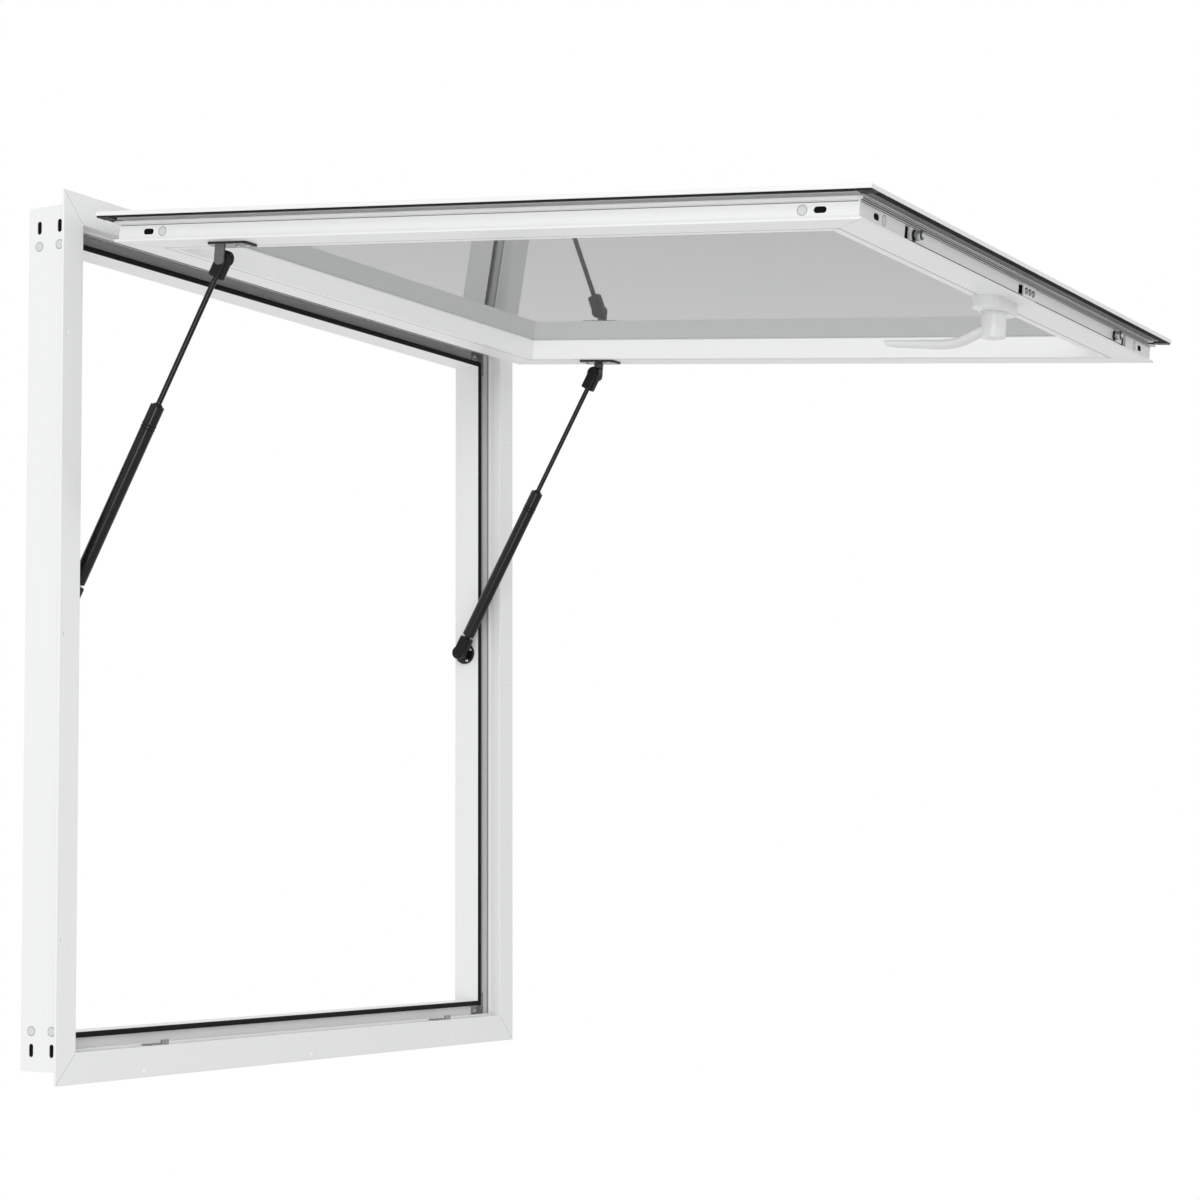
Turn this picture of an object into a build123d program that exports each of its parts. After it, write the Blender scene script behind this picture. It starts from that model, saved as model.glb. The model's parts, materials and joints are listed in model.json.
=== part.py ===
from build123d import *
import os
from math import atan2, degrees, hypot

# A square serving hatch for a caravan or food-truck wall: a flanged frame of hollow aluminium
# extrusions, and a glazed sash that swings out and up on two gas struts.
# X runs along the wall, +Y into the vehicle and -Y outwards, Z up. Y = 0 is the wall face of the
# flange, and the origin is the middle of the flange's lower overhang. All sizes in millimetres.

# Frame extrusion
BOX_WIDTH = 910.0
BOX_HEIGHT = 910.0
FLANGE_OVERHANG = 13.0
FLANGE_FACE = 33.0
FLANGE_THICK = 2.0
BOX_DEPTH = 55.0
REVEAL_DEPTH = 27.0
LEG_RISE = 19.0
FRAME_WALL = 1.6
RIDGE_DEPTH = 13.6
RIDGE_THICK = 4.0
RIDGE_RISE = 2.2
FLANGE_ROUND = 0.8
GASKET_FACE = 6.0
GASKET_GAP = 0.5
GASKET_ROUND = 1.6

# Flange screw holes, three on each side
SCREW_HOLE_R = 2.4
SCREW_EDGE = 7.3
SCREW_SPAN = 636.0

# Slots in the outer sides, for the corner joints
SLOT_LENGTH = 14.0
SLOT_WIDTH = 5.5
SLOT_FROM_END = 22.0
SLOT_FRONT = 14.0
SLOT_BACK = 41.0

# Corner cleats and lock keepers on the frame
CLEAT_LEG = 28.0
CLEAT_WIDTH = 11.0
CLEAT_THICK = 1.2
CLEAT_GAP = 0.5

# Sash extrusion, closed
LIP_OVERLAP = 6.5
LIP_GAP = 5.0
LIP_THICK = 4.7
SASH_GAP = 12.0
SASH_DEPTH = 25.0
STILE_FACE = 45.0
CHANNEL_DEPTH = 2.5
CHANNEL_HEIGHT = 3.5
MID_RIB_THICK = 3.0
MID_RIB_RISE = 4.5
INNER_RIB_THICK = 2.5
INNER_RIB_RISE = 3.5
SASH_WALL = 1.6
SKIN_THICK = 1.5
BEAD_WIDTH = 10.0
BEAD_WALL = 1.5
GLASS_THICK = 4.0
GLASS_EDGE = 1.5
LIP_ROUND = 1.2
RIB_ROUND = 0.6
SEAL_INSET = 0.8
SEAL_WIDTH = 6.0
SEAL_HEIGHT = 1.4
SEAL_ROUND = 0.5
SASH_SLOT_LENGTH = 13.0
SASH_SLOT_WIDTH = 6.2
SASH_SLOT_FROM_END = 39.0

# Continuous hinge along the top
OPEN_ANGLE = 85.0
HINGE_OUT = 13.0
HINGE_ABOVE_LIP = 8.7
HINGE_LENGTH = 720.0
BEAD_R = 3.0
HOOK_CLEAR = 0.3
HOOK_WALL = 1.8
CLAW_WRAP = 200.0
RAIL_THICK = 2.0
RAIL_HEIGHT = 14.0

# Gas struts
STRUT_INSET = 13.5
STRUT_FOOT_DEPTH = 40.0
STRUT_FOOT_HEIGHT = 499.0
STRUT_HEAD_DROP = 151.7
STRUT_HEAD_OFF = 15.7
CYLINDER_R = 7.75
CYLINDER_BORE = 6.1
ROD_R = 3.0
ROD_CLEAR = 0.1
PISTON_R = 5.8
PISTON_LENGTH = 10.0
GUIDE_LENGTH = 10.0
ROD_SHOWN = 170.0
ROD_INSIDE = 40.0
CYLINDER_ROUND = 1.2
END_STUD_R = 3.6
END_STUD_SHOWN = 3.0
SOCKET_R = 8.5
SOCKET_LENGTH = 13.0
SOCKET_NECK_THICK = 14.4
SOCKET_NECK_WIDTH = 16.0
SOCKET_NECK_CORNER = 4.5
SOCKET_NECK = 22.0
SOCKET_ROUND = 1.0
BALL_R = 4.5
BALL_CLEAR = 0.3
STUD_R = 2.5
FOOT_R = 14.0
FOOT_THICK = 3.0
FOOT_BEVEL = 0.8
STUD_END_GAP = 0.3
BRACKET_LENGTH = 50.0
BRACKET_SHIFT = 7.5
BRACKET_WIDTH = 23.5
BRACKET_THICK = 2.5
BRACKET_ROUND = 4.0
TAB_WIDTH = 12.0
TAB_PAST_BALL = 2.5
TAB_THICK = 2.5
TAB_GAP = 1.0

# Lock bar, roller cams and keepers
BAR_LEFT_INSET = 119.0
BAR_RIGHT_INSET = 103.0
BAR_END_GAP = 12.5
LOCK_BAR_WIDTH = 13.0
LOCK_BAR_THICK = 2.5
LOCK_BAR_CLEAR = 0.3
LOCK_TRAVEL = 14.0
CAM_INSET = 129.0
CAM_R = 4.6
CAM_DISC_R = 5.8
CAM_DISC_THICK = 1.2
CAM_HEIGHT = 9.0
CAM_BEVEL = 0.6
KEEPER_LENGTH = 32.0
KEEPER_PAST_CAM = 8.0
KEEPER_THICK = 1.5
KEEPER_CLEAR = 0.75
KEEPER_TONGUE = 10.0
KEEPER_RISE = 5.5
DRIVE_LENGTH = 36.0
DRIVE_THICK = 1.5
DRIVE_SHIFT = 17.0
NOTCH_LENGTH = 11.0
NOTCH_WIDTH = 10.0

# Handle
HANDLE_BASE_LENGTH = 75.0
HANDLE_BASE_WIDTH = 30.0
HANDLE_BASE_HEIGHT = 13.0
HANDLE_BASE_ROUND = 2.0
HANDLE_FROM_EDGE = 29.0
NECK_R = 13.0
NECK_HEIGHT = 27.0
NECK_ROUND = 2.5
NECK_CLEAR = 0.3
LEVER_LENGTH = 121.0
LEVER_WIDTH = 22.0
LEVER_THICK = 12.0
LEVER_DROP = 14.0

# Places worked out from the sizes
frame_centre = FLANGE_OVERHANG / 2 + BOX_HEIGHT / 2
flange_front = -FLANGE_THICK
flange_edge = FLANGE_FACE - FLANGE_OVERHANG
web_front = flange_front + REVEAL_DEPTH
leg_edge = flange_edge + LEG_RISE
opening_width = BOX_WIDTH - 2 * flange_edge
opening_height = BOX_HEIGHT - 2 * flange_edge
lip_width = opening_width + 2 * LIP_OVERLAP
lip_height = opening_height + 2 * LIP_OVERLAP
lip_plane = flange_front - LIP_GAP
lip_over = LIP_OVERLAP + SASH_GAP
sight_edge = lip_over + STILE_FACE
sash_face = lip_plane + SASH_DEPTH
body_front = CHANNEL_HEIGHT + MID_RIB_THICK
body_mid = lip_plane + (body_front + SASH_DEPTH - INNER_RIB_THICK) / 2
sash_bottom = frame_centre - lip_height / 2 + lip_over
hinge_y = flange_front - HINGE_OUT
hinge_z = frame_centre + lip_height / 2 + HINGE_ABOVE_LIP
leg_face = BOX_WIDTH / 2 - leg_edge

parts = {}


def bar(section, length):
    """A section carried along X and mitred at both ends; its second axis points inwards."""
    blank = extrude(Plane.YZ * section, amount=length, both=True)
    for side in (-1, 1):
        mitre = Plane(origin=(side * length / 2, 0, 0), z_dir=(-side, 0, -1))
        blank = split(blank, bisect_by=mitre, keep=Keep.TOP)
    return blank


def around(upright_section, level_section, width, height, y=0.0):
    """Four mitred bars round a rectangle: left and right of one section, top and bottom of another."""
    upright = bar(upright_section, height)
    level = bar(level_section, width)
    return {
        "left": Pos(-width / 2, y, frame_centre) * Rot(0, 90, 0) * upright,
        "right": Pos(width / 2, y, frame_centre) * Rot(0, -90, 0) * upright,
        "top": Pos(0, y, frame_centre + height / 2) * Rot(0, 180, 0) * level,
        "bottom": Pos(0, y, frame_centre - height / 2) * level,
    }


def block(y0, y1, u0, u1):
    """A rectangle of a section, given by its depth and inward limits."""
    return Pos((y0 + y1) / 2, (u0 + u1) / 2) * Rectangle(y1 - y0, u1 - u0)


def rounded(section, radius, *corners):
    """A section with the corners at the given places rounded."""
    chosen = [section.vertices().sort_by_distance(Vector(*corner))[0] for corner in corners]
    return fillet(chosen, radius)


def ring(width, height, face, y0, y1, radius, soft_end):
    """A closed rectangular strip with its outer size, face width and depth limits, and one soft face."""
    outline = Rectangle(width, height) - Rectangle(width - 2 * face, height - 2 * face)
    strip = extrude(Plane.XZ * outline, amount=-(y1 - y0))
    soft_face = strip.faces().sort_by(Axis.Y)[soft_end]
    return Pos(0, y0, frame_centre) * fillet(soft_face.edges(), radius)


def swing(shape):
    """Turn a piece of the closed sash about the hinge line to the open rest pose."""
    return Pos(0, hinge_y, hinge_z) * Rot(-OPEN_ANGLE, 0, 0) * Pos(0, -hinge_y, -hinge_z) * shape


def pair(name, right):
    """Keep a piece of the right side, and its mirror image on the left."""
    parts["right_" + name] = right
    parts["left_" + name] = mirror(right, about=Plane.YZ)


def frame_section():
    """The frame's hollow section: flange, box, reveal with a ridge, web and inner leg."""
    flange = block(flange_front, 0, -FLANGE_OVERHANG, flange_edge)
    box = block(flange_front, BOX_DEPTH, 0, flange_edge)
    leg = block(web_front, BOX_DEPTH, 0, leg_edge)
    ridge = block(RIDGE_DEPTH, RIDGE_DEPTH + RIDGE_THICK, flange_edge - FRAME_WALL, flange_edge + RIDGE_RISE)
    room = block(0, BOX_DEPTH - FRAME_WALL, FRAME_WALL, flange_edge - FRAME_WALL)
    leg_room = block(web_front + FRAME_WALL, BOX_DEPTH - FRAME_WALL, flange_edge, leg_edge - FRAME_WALL)
    shape = flange + box + leg + ridge - room - leg_room
    ridge_top = flange_edge + RIDGE_RISE
    return rounded(
        shape,
        FLANGE_ROUND,
        (flange_front, -FLANGE_OVERHANG),
        (flange_front, flange_edge),
        (RIDGE_DEPTH, ridge_top),
        (RIDGE_DEPTH + RIDGE_THICK, ridge_top),
    )


def sash_section(mid_rib):
    """The sash's hollow section: lip, channel, ribs, body tube and the skin that holds the glass."""
    low = sight_edge - BEAD_WIDTH
    channel = lip_over + CHANNEL_DEPTH
    rib_tip = lip_over - INNER_RIB_RISE
    shape = block(-LIP_THICK, 0, 0, low)
    shape += block(-LIP_THICK, SKIN_THICK - LIP_THICK, 0, sight_edge)
    shape += block(-LIP_THICK, SASH_DEPTH, channel, low)
    shape += block(body_front, SASH_DEPTH, lip_over, low)
    shape += block(SASH_DEPTH - INNER_RIB_THICK, SASH_DEPTH, rib_tip, low)
    if mid_rib:
        shape += block(CHANNEL_HEIGHT, body_front, lip_over - MID_RIB_RISE, low)
    shape -= block(SASH_WALL, SASH_DEPTH - SASH_WALL, channel + SASH_WALL, low - SASH_WALL)
    shape = rounded(shape, LIP_ROUND, (-LIP_THICK, 0))
    return rounded(shape, RIB_ROUND, (0, 0), (SASH_DEPTH, rib_tip))


def bead_section():
    """A glazing bead: a thin channel that stands on the glass and closes the stile's inner side."""
    low = sight_edge - BEAD_WIDTH
    glass_in = SKIN_THICK - LIP_THICK + GLASS_THICK
    full = block(glass_in, SASH_DEPTH, low, sight_edge)
    room = block(glass_in + BEAD_WALL, SASH_DEPTH - BEAD_WALL, low - 1, sight_edge - BEAD_WALL)
    return full - room


# Frame bars, with screw holes through the flange and slots through the jambs' outer sides
frame = around(frame_section(), frame_section(), BOX_WIDTH, BOX_HEIGHT)
screw_row = BOX_WIDTH / 2 + FLANGE_OVERHANG - SCREW_EDGE
screw_column = BOX_HEIGHT / 2 + FLANGE_OVERHANG - SCREW_EDGE
hole = extrude(Plane.XZ * Circle(SCREW_HOLE_R), amount=4 * FLANGE_THICK, both=True)
for side, name in ((-1, "left"), (1, "right")):
    for step in (-1, 0, 1):
        frame[name] -= Pos(side * screw_row, 0, frame_centre + step * SCREW_SPAN / 2) * hole
for side, name in ((-1, "bottom"), (1, "top")):
    for step in (-1, 0, 1):
        frame[name] -= Pos(step * SCREW_SPAN / 2, 0, frame_centre + side * screw_column) * hole
for name, side in (("left", -1), ("right", 1)):
    slot = Rot(0, 90, 0) * extrude(SlotOverall(SLOT_LENGTH, SLOT_WIDTH), amount=3 * FRAME_WALL, both=True)
    for end in (-1, 1):
        for depth in (SLOT_FRONT, SLOT_BACK):
            place = Pos(side * BOX_WIDTH / 2, depth, frame_centre + end * (BOX_HEIGHT / 2 - SLOT_FROM_END))
            frame[name] -= place * slot
parts["frame_left_jamb"] = frame["left"]
parts["frame_right_jamb"] = frame["right"]
parts["frame_head"] = frame["top"]
parts["frame_sill"] = frame["bottom"]

# Rubber gasket on the web, which the closed sash meets
gasket_width = BOX_WIDTH - 2 * (leg_edge - GASKET_FACE)
gasket_height = BOX_HEIGHT - 2 * (leg_edge - GASKET_FACE)
gasket_front = sash_face + GASKET_GAP
parts["frame_gasket"] = ring(gasket_width, gasket_height, GASKET_FACE, gasket_front, web_front, GASKET_ROUND, 0)

# Angle cleats that tie the corners, on the front of the web
cleat_low = flange_edge + CLEAT_GAP
cleat_shape = Pos(CLEAT_LEG / 2, CLEAT_WIDTH / 2) * Rectangle(CLEAT_LEG, CLEAT_WIDTH)
cleat_shape += Pos(CLEAT_WIDTH / 2, CLEAT_LEG / 2) * Rectangle(CLEAT_WIDTH, CLEAT_LEG)
cleat = extrude(Plane.XZ * cleat_shape, amount=CLEAT_THICK)
cleats = []
for turn in (0, 90, 180, 270):
    reach_x = BOX_WIDTH / 2 - cleat_low
    reach_z = BOX_HEIGHT / 2 - cleat_low
    sign_x = -1 if turn in (0, 90) else 1
    sign_z = -1 if turn in (0, 270) else 1
    cleats.append(Pos(sign_x * reach_x, web_front, frame_centre + sign_z * reach_z) * Rot(0, turn, 0) * cleat)
parts["frame_corner_cleats"] = Compound(cleats)

# Hinge rail: a plate on the flange, an arm and the round bead that the sash hooks on
rail_top = hinge_z + BEAD_R + HOOK_CLEAR + HOOK_WALL + RAIL_THICK
arm_bend = hinge_y + BEAD_R
arm = Polyline((hinge_y, hinge_z), (arm_bend, rail_top - RAIL_THICK / 2), (flange_front, rail_top - RAIL_THICK / 2))
rail_shape = trace(arm, line_width=RAIL_THICK)
rail_shape += Pos(hinge_y, hinge_z) * Circle(BEAD_R)
rail_shape += block(flange_front - RAIL_THICK, flange_front, rail_top - RAIL_HEIGHT, rail_top)
rail_shape -= block(flange_front, flange_front + RAIL_THICK, rail_top - 2 * RAIL_THICK, rail_top + RAIL_THICK)
parts["hinge_rail"] = extrude(Plane.YZ * rail_shape, amount=HINGE_LENGTH / 2, both=True)

# Sash bars, closed, with slots near the ends of the stiles and of the bottom rail
sash = around(sash_section(True), sash_section(False), lip_width, lip_height, lip_plane)
body_width = lip_width - 2 * lip_over
body_height = lip_height - 2 * lip_over
slot_depth = 2 * (CHANNEL_DEPTH + SASH_WALL)
sash_slot = extrude(SlotOverall(SASH_SLOT_LENGTH, SASH_SLOT_WIDTH), amount=slot_depth, both=True)
for end in (-1, 1):
    for name, side in (("left", -1), ("right", 1)):
        place = Pos(side * body_width / 2, body_mid, frame_centre + end * (body_height / 2 - SASH_SLOT_FROM_END))
        sash[name] -= place * Rot(0, 90, 0) * sash_slot
    place = Pos(end * (body_width / 2 - SASH_SLOT_FROM_END), body_mid, sash_bottom)
    sash["bottom"] -= place * sash_slot

# The lock bar lies in a groove along the bottom rail's outer side, with room to slide to the right
bar_left = BAR_LEFT_INSET - body_width / 2
bar_right = body_width / 2 - BAR_RIGHT_INSET
groove_length = bar_right + LOCK_TRAVEL + LOCK_BAR_CLEAR - bar_left + BAR_END_GAP
groove_width = LOCK_BAR_WIDTH + 2 * LOCK_BAR_CLEAR
groove_depth = LOCK_BAR_THICK + LOCK_BAR_CLEAR
flat_up = (Align.MIN, Align.CENTER, Align.MIN)
groove = Box(groove_length, groove_width, groove_depth, align=flat_up)
sash["bottom"] -= Pos(bar_left - BAR_END_GAP, body_mid, sash_bottom) * groove
parts["sash_left_stile"] = swing(sash["left"])
parts["sash_right_stile"] = swing(sash["right"])
parts["sash_top_rail"] = swing(sash["top"])
parts["sash_bottom_rail"] = swing(sash["bottom"])

# Glass, its four beads and the seal under the lip
glass_width = lip_width - 2 * (sight_edge - BEAD_WIDTH + GLASS_EDGE)
glass_height = lip_height - 2 * (sight_edge - BEAD_WIDTH + GLASS_EDGE)
glass_out = lip_plane - LIP_THICK + SKIN_THICK
glass = Box(glass_width, GLASS_THICK, glass_height)
parts["glass_pane"] = swing(Pos(0, glass_out + GLASS_THICK / 2, frame_centre) * glass)
beads = around(bead_section(), bead_section(), lip_width, lip_height, lip_plane)
for name, bead in beads.items():
    parts["glazing_bead_" + name] = swing(bead)
seal_width = lip_width - 2 * SEAL_INSET
seal_height = lip_height - 2 * SEAL_INSET
seal = ring(seal_width, seal_height, SEAL_WIDTH, lip_plane, lip_plane + SEAL_HEIGHT, SEAL_ROUND, -1)
parts["sash_seal"] = swing(seal)

# Hinge hook on the sash: a claw round the bead, on an arm from the lip's top edge
hook_in = BEAD_R + HOOK_CLEAR
hook_out = hook_in + HOOK_WALL
lip_top = hinge_z - HINGE_ABOVE_LIP
arm_angle = degrees(atan2(lip_top - hinge_z, lip_plane - LIP_THICK - hinge_y))
mouth_half = (360 - CLAW_WRAP) / 2
mouth_reach = 3 * hook_out
mouth_edge = Vector(mouth_reach, 0).rotate(Axis.Z, mouth_half)
mouth_points = [
    (0, 0),
    (mouth_edge.X, mouth_edge.Y),
    (mouth_reach, mouth_reach),
    (mouth_reach, -mouth_reach),
    (mouth_edge.X, -mouth_edge.Y),
]
mouth = make_face(Polyline(*mouth_points, close=True))
claw = Circle(hook_out) - Circle(hook_in) - Rot(0, 0, arm_angle + 180) * mouth
claw = Pos(hinge_y, hinge_z) * claw
hook_arm = block(lip_plane - LIP_THICK, lip_plane - LIP_THICK + HOOK_WALL, lip_top, hinge_z - hook_in)
hook_foot = block(lip_plane - LIP_THICK, lip_plane, lip_top, lip_top + HOOK_WALL)
hook_shape = claw + hook_arm + hook_foot - Pos(hinge_y, hinge_z) * Circle(hook_in)
parts["hinge_hook"] = swing(extrude(Plane.YZ * hook_shape, amount=HINGE_LENGTH / 2, both=True))

# Strut brackets on the stiles, with a ball on a stud, made for the right side and mirrored
strut_x = leg_face - STRUT_INSET
head_y = sash_face + STRUT_HEAD_OFF
head_z = hinge_z - STRUT_HEAD_DROP
tab_x = strut_x + SOCKET_LENGTH / 2 + TAB_GAP
plate = extrude(RectangleRounded(BRACKET_WIDTH, BRACKET_LENGTH, BRACKET_ROUND), amount=BRACKET_THICK)
plate = Pos(tab_x + TAB_THICK - BRACKET_WIDTH / 2, sash_face, head_z - BRACKET_SHIFT) * Rot(-90, 0, 0) * plate
tab_straight = STRUT_HEAD_OFF + TAB_PAST_BALL
tab_shape = Pos(0, tab_straight / 2) * Rectangle(TAB_WIDTH, tab_straight)
tab_shape += Pos(0, tab_straight) * Circle(TAB_WIDTH / 2)
tab_plane = Plane(origin=(tab_x, sash_face, head_z), x_dir=(0, 0, -1), z_dir=(1, 0, 0))
tab = extrude(tab_plane * tab_shape, amount=TAB_THICK)
stud_length = tab_x - strut_x + TAB_THICK / 2
stud = Pos(strut_x + stud_length / 2, head_y, head_z) * Rot(0, 90, 0) * Cylinder(STUD_R, stud_length)
ball = Pos(strut_x, head_y, head_z) * Rot(0, 90, 0) * Sphere(BALL_R)
pair("strut_bracket", swing(plate + tab + stud + ball))

# Gas struts between the rest places of the two balls, each built along its own axis from the upper ball
head_turned = Vector(0, head_y - hinge_y, head_z - hinge_z).rotate(Axis.X, -OPEN_ANGLE)
rest_y = hinge_y + head_turned.Y
rest_z = hinge_z + head_turned.Z
strut_open = hypot(rest_y - STRUT_FOOT_DEPTH, rest_z - STRUT_FOOT_HEIGHT)
strut_lean = degrees(atan2(STRUT_FOOT_DEPTH - rest_y, rest_z - STRUT_FOOT_HEIGHT))


def socket(toward):
    """A ball socket with a neck along the strut; toward is 1 for a neck above the ball, -1 below it."""
    barrel = Rot(0, 90, 0) * Cylinder(SOCKET_R, SOCKET_LENGTH)
    barrel = chamfer(barrel.edges().filter_by(GeomType.CIRCLE), SOCKET_ROUND)
    outline = RectangleRounded(SOCKET_NECK_THICK, SOCKET_NECK_WIDTH, SOCKET_NECK_CORNER)
    neck = extrude(outline, amount=toward * SOCKET_NECK)
    neck = chamfer(neck.edges().group_by(Axis.Z)[-1 if toward > 0 else 0], SOCKET_ROUND)
    return barrel + neck


strut_place = Pos(strut_x, rest_y, rest_z) * Rot(strut_lean, 0, 0)
cup_mouth = Pos(SOCKET_LENGTH / 2, 0, 0) * Rot(0, 90, 0) * Cylinder(STUD_R + BALL_CLEAR, SOCKET_LENGTH)
pair("rod_socket", strut_place * (socket(-1) - Sphere(BALL_R + BALL_CLEAR) - cup_mouth))
rod_length = ROD_SHOWN + ROD_INSIDE - SOCKET_NECK
rod = Pos(0, 0, -SOCKET_NECK - rod_length / 2) * Cylinder(ROD_R, rod_length)
piston = Pos(0, 0, -ROD_SHOWN - ROD_INSIDE + PISTON_LENGTH / 2) * Cylinder(PISTON_R, PISTON_LENGTH)
pair("rod", strut_place * (rod + piston))
tube_length = strut_open - SOCKET_NECK - END_STUD_SHOWN - ROD_SHOWN
tube_middle = Pos(0, 0, -ROD_SHOWN - tube_length / 2)
tube = Cylinder(CYLINDER_R, tube_length)
tube = tube_middle * fillet(tube.edges().filter_by(GeomType.CIRCLE), CYLINDER_ROUND)
tube -= tube_middle * Cylinder(CYLINDER_BORE, tube_length - 2 * GUIDE_LENGTH)
tube -= Pos(0, 0, -ROD_SHOWN) * Cylinder(ROD_R + ROD_CLEAR, 3 * GUIDE_LENGTH)
end_stud = Cylinder(END_STUD_R, 2 * END_STUD_SHOWN, align=(Align.CENTER, Align.CENTER, Align.MIN))
tube += Pos(0, 0, SOCKET_NECK - strut_open) * end_stud
pair("cylinder", strut_place * tube)
foot_stud_length = STRUT_INSET - FOOT_THICK - STUD_END_GAP
foot_stud = Pos(foot_stud_length / 2, 0, 0) * Rot(0, 90, 0) * Cylinder(STUD_R, foot_stud_length)
pair("cylinder_socket", strut_place * Pos(0, 0, -strut_open) * (socket(1) + foot_stud))
foot = Cylinder(FOOT_R, FOOT_THICK)
foot = chamfer(foot.edges().group_by(Axis.Z)[0], FOOT_BEVEL)
foot_place = Pos(leg_face - FOOT_THICK / 2, STRUT_FOOT_DEPTH, STRUT_FOOT_HEIGHT) * Rot(0, 90, 0)
pair("strut_foot", foot_place * foot)

# Lock bar with its two roller cams, and the keepers on the sill
bar_length = bar_right - bar_left
lock_bar = Box(bar_length, LOCK_BAR_WIDTH, LOCK_BAR_THICK, align=flat_up)
notch_middle = DRIVE_SHIFT - DRIVE_LENGTH / 2 - NOTCH_LENGTH / 2
lock_bar -= Pos(notch_middle - bar_left, 0, 0) * Box(NOTCH_LENGTH, NOTCH_WIDTH, 3 * LOCK_BAR_THICK)
parts["lock_bar"] = swing(Pos(bar_left, body_mid, sash_bottom) * lock_bar)
hang = (Align.CENTER, Align.CENTER, Align.MAX)
drive = Box(DRIVE_LENGTH, LOCK_BAR_WIDTH, DRIVE_THICK, align=hang)
parts["lock_drive_block"] = swing(Pos(DRIVE_SHIFT, body_mid, sash_bottom) * drive)
roller = Cylinder(CAM_R, CAM_HEIGHT, align=hang)
roller = chamfer(roller.edges().group_by(Axis.Z)[0], CAM_BEVEL) + Cylinder(CAM_DISC_R, CAM_DISC_THICK, align=hang)
sill_top = frame_centre - opening_height / 2
keeper_front = body_mid - CAM_R - KEEPER_CLEAR - KEEPER_THICK
keeper_width = 2 * (CAM_R + KEEPER_CLEAR) + KEEPER_THICK
on_sill = (Align.MAX, Align.MIN, Align.MIN)
keepers = []
for name, side in (("left", -1), ("right", 1)):
    cam_x = side * (body_width / 2 - CAM_INSET)
    parts[name + "_lock_cam"] = swing(Pos(cam_x, body_mid, sash_bottom) * roller)
    keeper_end = cam_x + LOCK_TRAVEL + KEEPER_PAST_CAM
    plate = Box(KEEPER_LENGTH, keeper_width, KEEPER_THICK, align=on_sill)
    tongue = Box(KEEPER_PAST_CAM + KEEPER_TONGUE / 2, KEEPER_THICK, KEEPER_RISE, align=on_sill)
    keepers.append(Pos(keeper_end, keeper_front, sill_top) * (plate + tongue))
parts["lock_keepers"] = Compound(keepers)

# Handle on the bottom rail: an oval base, and a lever on a round neck that turns in it
handle_z = sash_bottom + HANDLE_FROM_EDGE
on_face = Pos(0, sash_face, handle_z) * Rot(-90, 0, 0)
base = extrude(SlotOverall(HANDLE_BASE_LENGTH, HANDLE_BASE_WIDTH), amount=HANDLE_BASE_HEIGHT)
base = fillet(base.edges().group_by(Axis.Z)[-1], HANDLE_BASE_ROUND)
parts["handle_base"] = swing(on_face * base)
neck = Cylinder(NECK_R, NECK_HEIGHT, align=(Align.CENTER, Align.CENTER, Align.MIN))
neck = fillet(neck.edges().group_by(Axis.Z)[-1], NECK_ROUND)
neck = Pos(0, 0, HANDLE_BASE_HEIGHT + NECK_CLEAR) * neck
lever_z = HANDLE_BASE_HEIGHT + NECK_HEIGHT - LEVER_THICK / 2 - NECK_ROUND
# Share of the reach, of the drop away from the sash, of the width and of the thickness
stations = (
    (0.0, 0.0, 0.95, 1.0),
    (0.1, 0.05, 0.95, 1.0),
    (0.22, 0.55, 0.92, 0.92),
    (0.35, 0.93, 0.9, 0.85),
    (0.6, 1.0, 0.88, 0.8),
    (0.88, 0.95, 0.72, 0.66),
    (0.97, 0.88, 0.5, 0.5),
    (1.0, 0.84, 0.24, 0.28),
)
outlines = []
for reach, drop, wide, thick in stations:
    place = (0, -reach * LEVER_LENGTH, lever_z + drop * LEVER_DROP)
    at = Plane(origin=place, z_dir=(0, -1, 0), x_dir=(1, 0, 0))
    outlines.append(at * Ellipse(wide * LEVER_WIDTH / 2, thick * LEVER_THICK / 2))
lever = loft(outlines)
parts["handle_lever"] = swing(on_face * (neck + lever))

os.makedirs("parts", exist_ok=True)
for name, solid in parts.items():
    export_step(solid, "parts/" + name + ".step")
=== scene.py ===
"""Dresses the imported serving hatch: finishes for every bar, strut and fitting, and its small hardware."""
import json
import math

import bmesh
import bpy
import numpy as np
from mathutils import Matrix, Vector


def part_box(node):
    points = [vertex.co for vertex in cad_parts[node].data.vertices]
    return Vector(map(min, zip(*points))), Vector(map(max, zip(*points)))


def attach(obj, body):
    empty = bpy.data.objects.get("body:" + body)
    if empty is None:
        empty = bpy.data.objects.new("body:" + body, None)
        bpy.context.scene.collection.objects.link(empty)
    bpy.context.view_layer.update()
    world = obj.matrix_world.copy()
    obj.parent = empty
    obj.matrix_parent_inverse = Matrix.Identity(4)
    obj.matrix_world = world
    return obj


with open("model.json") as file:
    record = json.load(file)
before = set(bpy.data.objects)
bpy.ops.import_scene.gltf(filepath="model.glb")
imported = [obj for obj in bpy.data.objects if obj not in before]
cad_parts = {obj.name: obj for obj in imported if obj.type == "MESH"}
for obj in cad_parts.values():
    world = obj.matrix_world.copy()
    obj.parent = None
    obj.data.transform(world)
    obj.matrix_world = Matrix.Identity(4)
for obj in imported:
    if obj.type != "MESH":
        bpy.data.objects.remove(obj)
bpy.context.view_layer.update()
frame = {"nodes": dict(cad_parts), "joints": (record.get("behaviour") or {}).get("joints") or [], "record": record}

bl_info = {
    "name": "Serving hatch finish",
    "version": (1, 0, 0),
    "blender": (4, 5, 0),
    "location": "View3D > Sidebar > Serving hatch",
    "description": "Finishes and small hardware for a top-hung serving hatch on gas struts",
    "category": "Object",
}

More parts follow.
